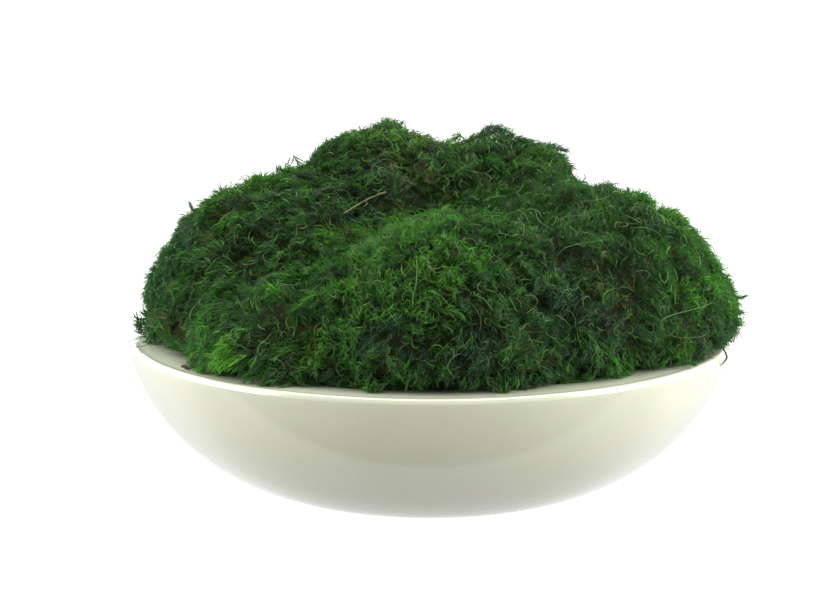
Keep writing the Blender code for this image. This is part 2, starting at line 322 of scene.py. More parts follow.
# Small leafy sprigs that stand out of the outline or hang over the rim: (root, tip, breadth, colour, light)
SPRIGS = [
    ((-0.1290, 0.000, 0.1500), (-0.1365, 0.000, 0.1640), 0.0045, 0.20, 0.60),
    ((-0.0850, -0.005, 0.1740), (-0.0860, -0.005, 0.1850), 0.0050, 0.22, 0.55),
    ((0.1180, -0.018, 0.1610), (0.1120, -0.018, 0.1760), 0.0035, 0.18, 0.50),
    ((0.1270, -0.006, 0.1560), (0.1200, -0.006, 0.1690), 0.0035, 0.18, 0.50),
    ((0.1370, -0.014, 0.1440), (0.1340, -0.014, 0.1600), 0.0090, 0.30, 0.62),
    ((0.1430, -0.016, 0.1400), (0.1430, -0.016, 0.1550), 0.0090, 0.36, 0.66),
    ((0.1710, -0.006, 0.1090), (0.1800, -0.006, 0.1125), 0.0045, 0.26, 0.65),
    ((0.1310, -0.0930, 0.0960), (0.1420, -0.0960, 0.0925), 0.0040, 0.30, 0.60),
]
SPRIG_LEAF_SPACING = 0.00025
SPRIG_STEM = (0.0006, 0.0003)    # diameters at its root and tip

# Bent frond that hangs over the rim at the right, by the pixels that it passes through in one upright plane
HANGING_FROND_PIXELS = [(717, 341), (722, 346), (725, 352), (727, 357), (725, 361), (720, 366)]
HANGING_FROND_Y = -0.058

# Dry twig across the crease between the left and the back left clump, by pixels, and its side shoot
TWIG_PIXELS = [(343, 214), (354, 207), (364, 201), (375, 196), (386, 192)]
TWIG_SHOOT_PIXELS = [(365, 201), (367, 204), (363, 207)]
TWIG_DIAMETER = 0.0009
TWIG_LIFT, TWIG_SHOOT_LIFT = 0.0065, 0.0060

# Thin hairs that stick out over the rim at the left: (root, tip, sag)
RIM_HAIRS = [
    ((-0.1530, -0.022, 0.0960), (-0.1745, -0.014, 0.0925), 0.0010),
    ((-0.1520, -0.050, 0.0950), (-0.1690, -0.053, 0.0925), -0.0015),
    ((-0.1560, -0.034, 0.0950), (-0.1700, -0.044, 0.0920), 0.0012),
]
HAIR_DIAMETER = 0.00035
BARK_FLAKE = (-0.1290, -0.1045, 0.0920)
BARK_FLAKE_SIZE = (0.0065, 0.0030, 0.0016)


# Materials


def add_node(tree, kind, inputs, **settings):
    """A node with its settings, and with its inputs linked or set."""
    node = tree.nodes.new("ShaderNode" + kind)
    for name, value in settings.items():
        setattr(node, name, value)
    for socket, value in inputs.items():
        if isinstance(value, bpy.types.NodeSocket):
            tree.links.new(value, node.inputs[socket])
        else:
            node.inputs[socket].default_value = value
    return node


def ramp(tree, source, stops):
    """A colour by how far along the stops the source is."""
    node = add_node(tree, "ValToRGB", {"Fac": source})
    elements = node.color_ramp.elements
    elements.remove(elements[1])
    for index, (place, colour) in enumerate(stops.items()):
        element = elements.new(place) if index else elements[0]
        element.position = place
        element.color = (*colour, 1.0)
    return node.outputs["Color"]


def mixed(tree, blend, factor, first, second):
    inputs = {"Factor": factor, "A": first, "B": second}
    return add_node(tree, "Mix", inputs, data_type="RGBA", blend_type=blend).outputs["Result"]


def span(tree, source, from_range, to_range, smooth=False):
    limits = zip(("From Min", "From Max", "To Min", "To Max"), (*from_range, *to_range))
    kind = "SMOOTHSTEP" if smooth else "LINEAR"
    inputs = {"Value": source, **dict(limits)}
    return add_node(tree, "MapRange", inputs, interpolation_type=kind).outputs["Result"]


def speckle(tree, where, scale, detail=2.0):
    return add_node(tree, "TexNoise", {"Vector": where, "Scale": scale, "Detail": detail}).outputs["Fac"]


def calculated(tree, operation, first, second):
    return add_node(tree, "Math", {0: first, 1: second}, operation=operation).outputs["Value"]


def part_of(tree, vector, axis):
    return add_node(tree, "SeparateXYZ", {"Vector": vector}).outputs[axis]


def bumped(tree, shader, height, strength, distance):
    bump = add_node(tree, "Bump", {"Height": height, "Strength": strength, "Distance": distance})
    tree.links.new(bump.outputs["Normal"], shader.inputs["Normal"])


def show_both(tree, factor, first, second, output="Material Output"):
    """Two shaders, the second by the factor, as what the object or the world shows."""
    both = add_node(tree, "MixShader", {"Fac": factor, 1: first, 2: second})
    tree.links.new(both.outputs["Shader"], tree.nodes[output].inputs["Surface"])


def object_place(tree):
    return tree.nodes.new("ShaderNodeTexCoord").outputs["Object"]


def new_material(name, roughness):
    material = bpy.data.materials.new(name)
    material.use_nodes = True
    shader = material.node_tree.nodes["Principled BSDF"]
    shader.inputs["Roughness"].default_value = roughness
    return material, material.node_tree, shader


def leaf_material():
    material, tree, shader = new_material("moss_leaf", 0.50)
    shader.inputs["Specular IOR Level"].default_value = 0.18
    place = add_node(tree, "UVMap", {}, uv_map="OFBake").outputs["UV"]
    colour = ramp(tree, part_of(tree, place, "X"), LEAF_COLOURS)
    shade = ramp(tree, part_of(tree, place, "Y"), LEAF_SHADES)
    shaded = mixed(tree, "MULTIPLY", 1.0, colour, shade)
    tree.links.new(shaded, shader.inputs["Base Color"])
    glow = mixed(tree, "MULTIPLY", 1.0, shaded, (*LIGHT_THROUGH, 1.0))
    through = add_node(tree, "BsdfTranslucent", {"Color": glow})
    show_both(tree, 0.50, shader.outputs["BSDF"], through.outputs["BSDF"])
    return material


def rim_light_and_shade(tree, where):
    """A factor on the glaze's colour, painted light and shade: lighter on the flat rim, darker over the
    lip, 1 below it.
    """
    level = add_node(tree, "VectorMath", {0: where, 1: (1.0, 1.0, 0.0)}, operation="MULTIPLY")
    radius = add_node(tree, "VectorMath", {0: level.outputs["Vector"]}, operation="LENGTH")
    outward = span(tree, radius.outputs["Value"], PAINTED_RIM_RADII, (0.0, 1.0))
    on_rim = span(tree, part_of(tree, where, "Z"), PAINTED_LIP_HEIGHTS, (0.0, 1.0))
    return mixed(tree, "MIX", on_rim, (1.0, 1.0, 1.0, 1.0), ramp(tree, outward, PAINTED_RIM_LIGHT))


def glaze_material():
    """Ivory glaze with a faint mottle over a foot ring of bare clay."""
    material, tree, shader = new_material("ivory_glaze", 0.12)
    shader.inputs["Coat Weight"].default_value = 1.0
    shader.inputs["Coat Roughness"].default_value = 0.05
    shader.inputs["Coat IOR"].default_value = 1.8
    where = object_place(tree)
    glaze = ramp(tree, speckle(tree, where, CLOUD_GRAIN, 3.0), GLAZE_CLOUDS)
    dots = span(tree, speckle(tree, where, DOT_GRAIN, 0.0), DOT_EDGE, (0.0, DOT_STRENGTH))
    glaze = mixed(tree, "MIX", dots, glaze, GLAZE_DOTS)
    # painted light on the flat rim and painted shade over the lip
    glaze = mixed(tree, "MULTIPLY", 1.0, glaze, rim_light_and_shade(tree, where))
    clay = ramp(tree, speckle(tree, where, CLAY_GRAIN), CLAY_COLOURS)
    bare = span(tree, part_of(tree, where, "Z"), CLAY_EDGE, (1.0, 0.0))
    tree.links.new(mixed(tree, "MIX", bare, glaze, clay), shader.inputs["Base Color"])
    gloss = span(tree, speckle(tree, where, GLOSS_GRAIN), (0.3, 0.7), GLOSS_RANGE)
    rough = calculated(tree, "MAXIMUM", gloss, span(tree, bare, (0.0, 1.0), (0.0, CLAY_ROUGHNESS)))
    tree.links.new(rough, shader.inputs["Roughness"])
    bumped(tree, shader, speckle(tree, where, WAVE_GRAIN), 0.05, 0.0006)
    return material


def stem_material(name, dark, light, grain):
    """Dry stem, streaked along its length and blotched."""
    material, tree, shader = new_material(name, 0.7)
    stretched = add_node(tree, "Mapping", {"Vector": object_place(tree), "Scale": (0.35, 1.0, 1.0)})
    streaks = speckle(tree, stretched.outputs["Vector"], grain, 3.0)
    tree.links.new(ramp(tree, streaks, {0.35: dark, 0.65: light}), shader.inputs["Base Color"])
    bumped(tree, shader, streaks, 0.4, 0.0003)
    return material


# Directions, paths and pieces


def unit(vectors):
    return vectors / np.maximum(np.linalg.norm(vectors, axis=-1, keepdims=True), 1e-9)


def jitter(scale, size):
    return RNG.normal(scale=scale, size=size)


def across(vectors, axis):
    """What is left of the vectors at right angles to an axis."""
    return vectors - (vectors * axis).sum(-1, keepdims=True) * axis


def turned_about(axis, vectors, angle):
    """Directions at right angles to an axis, turned about it."""
    return np.cos(angle) * vectors + np.sin(angle) * np.cross(axis, vectors)


def within_box(points):
    """How far each point lies from the least to the most along each axis, from 0 to 1."""
    low, high = points.min(axis=0), points.max(axis=0)
    return (points - low) / (high - low)


def varied(path, shares, values):
    """A value at each point of a path, from those at some shares of the way."""
    return np.interp(np.linspace(0.0, 1.0, len(path)), shares, values)


def smooth_path(points, steps):
    """A path through the points without corners."""
    points = np.array(points)
    ends = np.vstack([2 * points[0] - points[1], points, 2 * points[-1] - points[-2]])
    path = []
    for a, b, c, d in zip(ends, ends[1:], ends[2:], ends[3:]):
        for t in np.linspace(0.0, 1.0, steps, endpoint=False):
            bend = 2 * a - 5 * b + 4 * c - d + t * (3 * b - a - 3 * c + d)
            path.append(b + 0.5 * t * (c - a + t * bend))
    return np.array([*path, points[-1]])


def linked(name, data):
    """A new object of the scene."""
    made = bpy.data.objects.new(name, data)
    bpy.context.scene.collection.objects.link(made)
    return made


class Shape:
    """Corners, triangles and map places of one piece, gathered batch by batch."""

    def __init__(self):
        self.corners, self.triangles, self.places = [], [], []
        self.count = 0

    def add(self, corners, triangles, places):
        self.corners.append(corners)
        self.triangles.append(np.asarray(triangles) + self.count)
        self.places.append(places)
        self.count += len(corners)

    def add_strips(self, points, sides, tones, shades):
        """Pointed strips: places along them, half widths, a colour each and the light along them."""
        amount, count = points.shape[:2]
        each = 2 * count - 1
        corners = np.empty((amount, each, 3))
        corners[:, 0:-1:2] = points[:, :-1] - sides[:, :-1]
        corners[:, 1::2] = points[:, :-1] + sides[:, :-1]
        corners[:, -1] = points[:, -1]
        places = np.empty((amount, each, 2))
        places[:, :, 0] = np.clip(tones, *TONE_ENDS)[:, None]
        places[:, 1::2, 0] += LEAF_BREADTH
        places[:, 0:-1:2, 1] = shades[:, :-1]
        places[:, 1::2, 1] = shades[:, :-1]
        places[:, -1, 1] = shades[:, -1]
        pattern = [(each - 3, each - 2, each - 1)]
        for left in range(0, each - 3, 2):
            pattern += [(left, left + 1, left + 3), (left, left + 3, left + 2)]
        starts = each * np.arange(amount)
        triangles = (np.array(pattern)[None] + starts[:, None, None]).reshape(-1, 3)
        self.add(corners.reshape(-1, 3), triangles, places.reshape(-1, 2))

    def add_stem(self, path, diameters, tone, shades, sides=5):
        """A round stem along a path, with closed ends."""
        ahead = unit(np.gradient(path, axis=0))
        first = unit(across(UP + (0.1, 0.2, 0.0), ahead[0]))
        turns = 2 * math.pi * np.arange(sides)[:, None] / sides
        rings = []
        for spot, way, diameter in zip(path, ahead, diameters):
            first = unit(across(first, way))
            rings.append(spot + diameter / 2 * turned_about(way, first, turns))
        triangles = [(0, k + 1, k) for k in range(1, sides - 1)]
        last = sides * (len(path) - 1)
        triangles += [(last, last + k, last + k + 1) for k in range(1, sides - 1)]
        for row in range(0, last, sides):
            for k in range(sides):
                a, b = row + k, row + (k + 1) % sides
                triangles += [(a, b, b + sides), (a, b + sides, a + sides)]
        places = np.empty((len(path), sides, 2))
        places[:, :, 0] = tone - STEM_BREADTH * np.arange(sides)
        places[:, :, 1] = np.asarray(shades)[:, None]
        self.add(np.vstack(rings), triangles, places.reshape(-1, 2))

    def piece(self, name, material, node=None):
        corners, triangles = np.concatenate(self.corners), np.concatenate(self.triangles)
        places = np.clip(np.concatenate(self.places), *MAP_ENDS)
        mesh = bpy.data.meshes.new(name)
        mesh.vertices.add(len(corners))
        mesh.vertices.foreach_set("co", corners.astype(np.float32).ravel())
        mesh.loops.add(triangles.size)
        mesh.loops.foreach_set("vertex_index", triangles.astype(np.int32).ravel())
        mesh.polygons.add(len(triangles))
        mesh.polygons.foreach_set("loop_start", np.arange(0, triangles.size, 3, dtype=np.int32))
        mesh.update(calc_edges=True)
        layer = mesh.uv_layers.new(name="OFBake")
        layer.data.foreach_set("uv", places[triangles.ravel()].astype(np.float32).ravel())
        mesh.shade_smooth()
        mesh.materials.append(material)
        made = linked(name, mesh)
        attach(made, "root")
        if node:
            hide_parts(node)


# Solids of the frame


class Surface:
    """A solid's welded points, their normals and its triangles."""

    def __init__(self, node):
        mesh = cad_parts[node].data
        corners = np.empty(len(mesh.vertices) * 3, np.float32)
        mesh.vertices.foreach_get("co", corners)
        mesh.calc_loop_triangles()
        faces = np.empty(len(mesh.loop_triangles) * 3, np.int32)
        mesh.loop_triangles.foreach_get("vertices", faces)
        rounded = np.round(corners.reshape(-1, 3).astype(float), 6)
        self.points, index = np.unique(rounded, axis=0, return_inverse=True)
        self.triangles = index.reshape(-1)[faces.reshape(-1, 3)]
        a, b, c = (self.points[self.triangles[:, k]] for k in range(3))
        facing = np.cross(b - a, c - a)
        self.areas = np.linalg.norm(facing, axis=1) / 2
        self.normals = np.zeros_like(self.points)
        for k in range(3):
            np.add.at(self.normals, self.triangles[:, k], facing)
        self.normals = unit(self.normals)

    def tree(self):
        return BVHTree.FromPolygons(self.points.tolist(), self.triangles.tolist())

    def scatter(self, spacing):
        """Random places, about three to each square of the spacing, with their normals."""
        amount = int(self.areas.sum() * 3.0 / spacing**2)
        chosen = self.triangles[RNG.choice(len(self.areas), amount, p=self.areas / self.areas.sum())]
        r, s = np.sqrt(RNG.random(amount)), RNG.random(amount)
        weights = np.stack([1 - r, r * (1 - s), r * s], axis=1)[..., None]
        places = (self.points[chosen] * weights).sum(axis=1)
        return places, unit((self.normals[chosen] * weights).sum(axis=1))


def thinned(places, spacing):
    """Which places to keep so that they lie at least the spacing apart."""
    cells, kept = {}, []
    keys = np.floor(places / spacing).astype(int).tolist()
    near = [(i, j, k) for i in (-1, 0, 1) for j in (-1, 0, 1) for k in (-1, 0, 1)]
    for index, (place, key) in enumerate(zip(places.tolist(), keys)):
        others = []
        for i, j, k in near:
            others += cells.get((key[0] + i, key[1] + j, key[2] + k), ())
        if all(math.dist(place, other) >= spacing for other in others):
            cells.setdefault(tuple(key), []).append(place)
            kept.append(index)
    return kept


def all_in_one_tree(nodes):
    points, faces, base = [], [], 0
    for node in nodes:
        surface = Surface(node)
        points += surface.points.tolist()
        faces += (surface.triangles + base).tolist()
        base += len(surface.points)
    return BVHTree.FromPolygons(points, faces)


def openness(tree, places, normals):
    """The share of the half space over each place that no solid closes off nearby."""
    first = unit(np.cross(normals, np.where(np.abs(normals[:, 2:]) < 0.9, UP, np.array([1.0, 0.0, 0.0]))))
    second = np.cross(normals, first)
    total = np.zeros(len(places))
    for k in range(OPEN_RAYS):
        tilt = math.acos(1.0 - 0.85 * (k + 0.5) / OPEN_RAYS)
        turn = k * GOLDEN_ANGLE
        level = math.cos(turn) * first + math.sin(turn) * second
        rays = math.sin(tilt) * level + math.cos(tilt) * normals
        for index, (place, ray) in enumerate(zip(places + 0.0006 * normals, rays)):
            distance = tree.ray_cast(place, ray, OPEN_REACH)[3]
            total[index] += 1.0 if distance is None else distance / OPEN_REACH
    return total / OPEN_RAYS


class Heap:
    """The clumps as one rounded form, with their creases filled as if the moss had grown together."""

    def __init__(self, names):
        self.trees = [Surface(name).tree() for name in names]
        self.solids = all_in_one_tree(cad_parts)

    def depth(self, place, normal, reach=BLEND_REACH):
        """How far a place lies over the rounded form, less than 0 below it, and the way out of it."""
        total, way = 1e-30, Vector((0.0, 0.0, 0.0))
        for tree in self.trees:
            spot, _, _, distance = tree.find_nearest(place, reach)
            if spot is None:
                continue
            weight = math.exp(-distance / BLEND)
            total += weight
            way += weight * ((place - spot) / distance if distance > 1e-5 else normal)
        return -BLEND * math.log(total), way / total

    def lifted(self, places, normals):
        """The places moved out onto the rounded form, the ways out there, and which of them got there."""
        spots, ways, reached = np.array(places), np.array(normals), np.ones(len(places), bool)
        for index, (place, normal) in enumerate(zip(places, normals)):
            spot, way, move = Vector(place), Vector(normal), Vector()
            for _ in range(BLEND_ROUNDS):
                depth, way = self.depth(spot, way.normalized())
                if way.length < LEAST_WAY_OUT:
                    break
                move = way * (depth / way.length_squared)
                spot -= move
            reached[index] = way.length >= LEAST_WAY_OUT and move.length < LAST_MOVE
            if reached[index]:
                spots[index], ways[index] = spot, way.normalized()
        return spots, ways, reached

    def seen_at(self, pixel, lift):
        """The place over the rounded form that a pixel of the photograph shows."""
        eye, ray = camera_ray(*pixel)
        travelled = CAMERA_DISTANCE - RIM_RADIUS - SEARCH_START
        for _ in range(SEARCH_ROUNDS):
            spot = eye + travelled * ray
            depth, _ = self.depth(spot, -ray, 1.0)
            travelled += SEARCH_STEP * (depth - lift)
            if abs(depth - lift) < NEAR_ENOUGH:
                break
        return np.array(spot)


# Moss


def noise_at(places, size, seed):
    shift = Vector((seed * 3.7, seed * 1.3, seed * 2.9))
    return np.array([noise.noise(Vector(place) / size + shift) for place in places])


def some_of(places, spacing):
    amount = max(3, int(0.7 * len(places) * (SHOOT_SPACING / spacing) ** 2))
    return RNG.choice(len(places), min(amount, len(places)), replace=False)


def nearest_of(places, middles, size):
    """Which of the middles each place belongs to, with ragged borders, and its distance to it."""
    shift = [noise_at(places, 0.6 * size, 20 + axis) for axis in range(3)]
    off = np.linalg.norm((places + 0.35 * size * np.stack(shift, axis=1))[:, None] - middles[None], axis=2)
    nearest = np.argmin(off, axis=1)
    return nearest, off[np.arange(len(places)), nearest]


class Growth:
    """How moss grows: patches lie one way, and the locks in them bend together to a shared tip each."""

    def __init__(self, places, outward, flow, strength):
        patches = some_of(places, PATCH_SIZE)
        patch, _ = nearest_of(places, places[patches], PATCH_SIZE)
        locks = some_of(places, LOCK_SIZE)
        lock, off = nearest_of(places, places[locks], LOCK_SIZE)
        self.edge = np.clip(off / (0.75 * LOCK_SIZE), 0.0, 1.2) ** 2
        patch_ways = unit(RNG.normal(size=(len(patches), 3)))
        lock_ways = strength * unit(np.array(flow)) + patch_ways[patch[locks]]
        lock_ways = lock_ways + 0.5 * unit(RNG.normal(size=(len(locks), 3)))
        lock_ways = unit(across(lock_ways, outward[locks]))
        tips = places[locks] + LOCK_LENGTH * RNG.uniform(0.7, 1.3, len(locks))[:, None] * lock_ways
        self.combed = unit(across(tips[lock] - places, outward))
        height = jitter(LOCK_HEIGHTS, len(locks))
        height += TALL_RISE * (RNG.random(len(locks)) < TALL_SHARE)
        self.height = height[lock] - LOCK_RELIEF * self.edge
        self.lean = RNG.uniform(0.0, 1.0, len(patches))[patch]
        tones = jitter(PATCH_TONES, len(patches))[patch]
        self.tones = tones + jitter(LOCK_TONES, len(locks))[lock]
        lights = RNG.uniform(*GROWTH_LIGHTS, len(patches))[patch]
        # painted shade: darker at the locks' edges, between the locks
        self.lights = lights * RNG.uniform(*GROWTH_LIGHTS, len(locks))[lock] * (1.01 - 0.17 * self.edge)


def shaping(places):
    rise = np.zeros(len(places))
    for middle, reach, amount in SHAPING:
        off = np.linalg.norm(places - np.array(middle), axis=1) / reach
        rise += amount * np.clip(1.0 - off, 0.0, 1.0) ** 0.7
    return rise


# Places with a colour of their own, and places of painted shade and painted light.
def tinted_and_shaded(places, tones, lights):
    for middle, reach, tone, light, most in TINTS_AND_PAINTED_LIGHT:
        off = np.linalg.norm(places - np.array(middle), axis=1) / reach
        share = np.clip(1.8 - 1.5 * off, 0.0, 1.0) * most > RNG.random(len(places))
        tones = np.where(share, tone + jitter(0.02, len(places)), tones)
        lights = np.where(share, lights * light, lights)
    return tones, lights


def bent_strips(starts, headings, bend_ways, bends, lengths, widths, count):
    """Strips that leave along their heading and bend by an angle towards their bend way."""
    bend_ways = unit(across(bend_ways, headings))
    hinge = np.cross(headings, bend_ways)
    roll = RNG.uniform(0.25, 1.3, len(starts)) * RNG.choice([-1.0, 1.0], len(starts))
    profile = np.interp(np.linspace(0.0, 1.0, count), [0.0, 0.35, 0.7, 1.0], [0.6, 1.0, 0.7, 0.0])
    points = np.empty((len(starts), count, 3))
    sides = np.empty_like(points)
    points[:, 0] = starts
    for k in range(count):
        angle = (bends * (k / (count - 1)) ** 1.2)[:, None]
        inward = -np.sin(angle) * headings + np.cos(angle) * bend_ways
        side = np.cos(roll)[:, None] * hinge + np.sin(roll)[:, None] * inward
        sides[:, k] = side * (widths / 2 * profile[k])[:, None]
        if k + 1 < count:
            middle = (bends * ((k + 0.5) / (count - 1)) ** 1.2)[:, None]
            forward = np.cos(middle) * headings + np.sin(middle) * bend_ways
            points[:, k + 1] = points[:, k] + forward * (lengths / (count - 1))[:, None]
    return points, sides


def leaf_light(amount, lights):
    """Which leaves are young and bright, and how light their tips are."""
    bright = RNG.random(amount) < BRIGHT_LEAVES
    tips = np.where(bright, RNG.uniform(*BRIGHT_LIGHT, amount), RNG.uniform(*LEAF_LIGHT, amount))
    return bright, lights * tips


def leaf_shades(tips):
    along = np.linspace(0.0, 1.0, LEAF_POINTS)
    # painted light: roots a little lighter than tips
    return tips[:, None] * (ROOT_LIGHT + (1.0 - ROOT_LIGHT) * along[None])


def arched_stems(places, outward, growth):
    """Stems that rise and lean over along the comb: roots, ways, first angles, turns and lengths."""
    shoots = len(places)
    ways = unit(across(growth.combed + 0.35 * RNG.normal(size=(shoots, 3)), outward))
    least, by_patch, own = STEM_LEANS
    first_angle = np.radians(least + by_patch * growth.lean + RNG.uniform(0.0, own, shoots))
    turned = np.radians(RNG.uniform(*STEM_TURN, shoots))
    length = STEM_LENGTH * RNG.uniform(0.75, 1.2, shoots) * (1.12 - 0.3 * growth.edge)
    rise = length * (np.sin(first_angle + turned) - np.sin(first_angle)) / turned
    reach = length * (np.cos(first_angle) - np.cos(first_angle + turned)) / turned
    roots = places - outward * rise[:, None] - ways * (0.5 * reach)[:, None]
    return roots, ways, first_angle, turned, length


def along_stems(stems, outward, share):
    """Where leaves leave their stems, a share of the way along them, and the stems' headings there."""
    roots, ways, first_angle, turned, length = stems
    angle = first_angle + turned * share
    headings = np.cos(angle)[:, None] * outward + np.sin(angle)[:, None] * ways
    up = (np.sin(angle) - np.sin(first_angle)) / turned
    ahead = (np.cos(first_angle) - np.cos(angle)) / turned
    return roots + outward * (length * up)[:, None] + ways * (length * ahead)[:, None], headings


def shoot_leaves(places, outward, growth, tones, lights, curly):
    """Leaves all round arched stems, which close into a plume at the tip."""
    shoots, amount = len(places), LEAVES_PER_SHOOT

    def spread(values):
        return np.repeat(values, amount, axis=0)

    stems = [spread(values) for values in arched_stems(places, outward, growth)]
    outward, ways = spread(outward), stems[1]
    share = np.tile((np.arange(amount) + 0.5) / amount, shoots)
    share = FIRST_LEAF + (1.0 - FIRST_LEAF) * share + jitter(0.03, share.size)
    share = np.clip(share, 0.05, 1.0)
    starts, stem = along_stems(stems, outward, share)
    turn = np.tile(np.arange(amount) * GOLDEN_ANGLE, shoots) + spread(RNG.uniform(0, 2 * math.pi, shoots))
    first = unit(np.cross(outward, ways))
    out = turned_about(stem, first, turn[:, None])
    flare = ROOT_FLARE + (TIP_FLARE - ROOT_FLARE) * share + jitter(FLARE_NOISE, share.size)
    flare = np.radians(flare)[:, None]
    headings = unit(np.cos(flare) * stem + np.sin(flare) * out)
    closing = stem - 0.4 * out + 0.5 * ways + (0.25 + 0.9 * curly) * RNG.normal(size=stem.shape)
    bends = np.radians(RNG.uniform(LEAST_BEND, MOST_BEND + CURLY_BEND * curly, share.size))
    lengths = LEAF_LENGTH * RNG.uniform(0.7, 1.35, share.size) * (1.1 - 0.3 * share)
    widths = LEAF_WIDTH * RNG.uniform(0.7, 1.4, share.size)
    points, sides = bent_strips(starts, headings, closing, bends, lengths, widths, LEAF_POINTS)
    bright, tips = leaf_light(share.size, spread(lights))
    tone = spread(tones) + jitter(LEAF_TONES, share.size)
    tone = np.where(bright, tone + BRIGHT_SHIFT, tone)
    withered = RNG.random(share.size) < WITHERED_LEAVES
    tone = np.where(withered, RUST + jitter(0.02, share.size), tone)
    return settled(points), sides, tone, leaf_shades(tips)


def settled(points):
    """Points moved up where they would sink into the bowl's rim."""
    radius = np.hypot(points[..., 0], points[..., 1])
    over = (radius > RIM_INNER_RADIUS) & (radius < RIM_RADIUS + BESIDE_RIM) & (points[..., 2] > UNDER_RIM)
    lifted = points.copy()
    lifted[..., 2] = np.where(over, np.maximum(points[..., 2], BOWL_HEIGHT + OVER_RIM), points[..., 2])
    return lifted


def grow(shape, places, outward, heap, look, least_open=LEAST_OPEN):
    """Adds shoots to a shape. Gives their crowns, the ways out and how open they lie."""
    flow, strength, curly, tone, light = look
    seen = openness(heap.solids, places, outward)
    chosen = seen > least_open
    places, outward, seen = places[chosen], outward[chosen], seen[chosen]
    growth = Growth(places, outward, flow, strength)
    tones = tone + growth.tones + 0.12 * noise_at(places, 0.030, 8) + 0.3 * (growth.lights - 0.95)
    # painted light near the rim, painted shade towards the peak
    height = np.clip((places[:, 2] - BOWL_HEIGHT) / (HEAP_TOP - BOWL_HEIGHT), 0.0, 1.0)
    light = light * (LOW_LIGHT + (HIGH_LIGHT - LOW_LIGHT) * height)
    # painted shade on moss that faces up
    light = light * (SIDE_LIGHT + (TOP_LIGHT - SIDE_LIGHT) * np.clip(outward[:, 2], 0.0, 1.0))
    # painted shade: darker where nearby solids close off the space over the moss, as in creases
    lights = light * (0.74 + 0.26 * seen) * (1.0 + 0.06 * noise_at(places, 0.022, 9)) * growth.lights
    tones, lights = tinted_and_shaded(places, tones, lights)
    crowns = places + outward * (growth.height + shaping(places) - CROWN_DROP)[:, None]
    shape.add_strips(*shoot_leaves(crowns, outward, growth, tones, lights, curly))
    return crowns, outward, seen


def mat_under(surface, heap):
    """The solid's own form, filled in its creases as the moss is, drawn in, rough, and painted dark as the
    shade deep in the moss.
    """
    spots, ways, reached = heap.lifted(surface.points, surface.normals)
    rough = MAT_ROUGHNESS * noise_at(surface.points, MAT_LUMP_SIZE, 3)
    filling = np.linalg.norm(spots - surface.points, axis=1)
    drawn = spots + ways * (shaping(spots) - MAT_DEPTH - rough)[:, None]
    hidden = surface.points - HIDDEN_DEPTH * surface.normals
    points = np.where((reached & (filling < DEEPEST_FILLING))[:, None], drawn, hidden)
    share = within_box(points)
    cloud = noise_at(points, MAT_CLOUD_SIZE, 5)
    # painted shade, a little lighter towards the top and the back, and lighter and darker by the mat's
    # clouds
    light = MAT_LIGHT + 0.02 * share[:, 2] + 0.02 * share[:, 1] - 0.06 * cloud
    return points, surface.triangles, np.stack([OLIVE + 0.08 * cloud, light], axis=1)


def litter(crowns, outward):
    """Dead leaves, brown and dark green, that lie crosswise over the mat: dark by their own colour and by
    painted shade deep in the moss.
    """
    spots, ways = np.repeat(crowns, LITTER_PER_SHOOT, axis=0), np.repeat(outward, LITTER_PER_SHOOT, axis=0)
    amount = len(spots)
    level = across(RNG.normal(size=(amount, 3)), ways)
    depth = MAT_DEPTH * RNG.uniform(*LITTER_DEPTH, amount)
    starts = spots - depth[:, None] * ways - 0.0025 * level
    headings = unit(level + RNG.uniform(0.0, 0.5, amount)[:, None] * ways)
    bends = RNG.uniform(0.2, 1.2, amount)
    lengths = LEAF_LENGTH * RNG.uniform(0.8, 1.4, amount)
    widths = LEAF_WIDTH * RNG.uniform(1.1, 2.0, amount)
    points, sides = bent_strips(starts, headings, -ways, bends, lengths, widths, LEAF_POINTS)
    tones = np.where(RNG.random(amount) < BROWN_LITTER, RUST, FOREST) + jitter(0.03, amount)
    shades = leaf_shades(RNG.uniform(*LITTER_LIGHT, amount))
    return settled(points), sides, tones, shades


def make_clump(name, heap, material):
    surface = Surface(name)
    places, outward, reached = heap.lifted(*surface.scatter(SHOOT_SPACING))
    places, outward = places[reached], outward[reached]
    kept = thinned(places, SHOOT_SPACING)
    shape = Shape()
    shape.add(*mat_under(surface, heap))
    grown = grow(shape, places[kept], outward[kept], heap, CLUMP_LOOKS[name])
    shape.add_strips(*litter(grown[0], grown[1]))
    shape.piece(name + "_fronds", material, name)
    return grown


def make_packing(heap, material):
    """Moss in the notches that the clumps leave at the rim, over a floor of the packing's form painted dark
    as shade.
    """
    surface = Surface("packing")
    places, normals = surface.scatter(SHOOT_SPACING)
    radius = np.hypot(places[:, 0], places[:, 1])
    near_rim = (radius > RIM_MOSS_START) & (normals[:, 2] > 0.5)
    places, normals, radius = places[near_rim], normals[near_rim], radius[near_rim]
    away = places * (1.0, 1.0, 0.0) / radius[:, None]
    outward = unit(normals + 0.9 * away)
    kept = thinned(places, SHOOT_SPACING)
    shape = Shape()
    share = within_box(surface.points)
    # painted shade, lighter towards the back and a little towards the top
    light = PACKING_LIGHT + 0.12 * share[:, 1] + 0.02 * share[:, 2]
    dark = np.stack([PACKING_TONE + 0.10 * share[:, 0], light], axis=1)
    shape.add(surface.points, surface.triangles, dark)
    raised = places[kept] + RIM_MOSS_RISE * outward[kept]
    grow(shape, raised, outward[kept], heap, RIM_MOSS_LOOK, RIM_MOSS_OPEN)
    shape.piece("packing_moss", material, "packing")


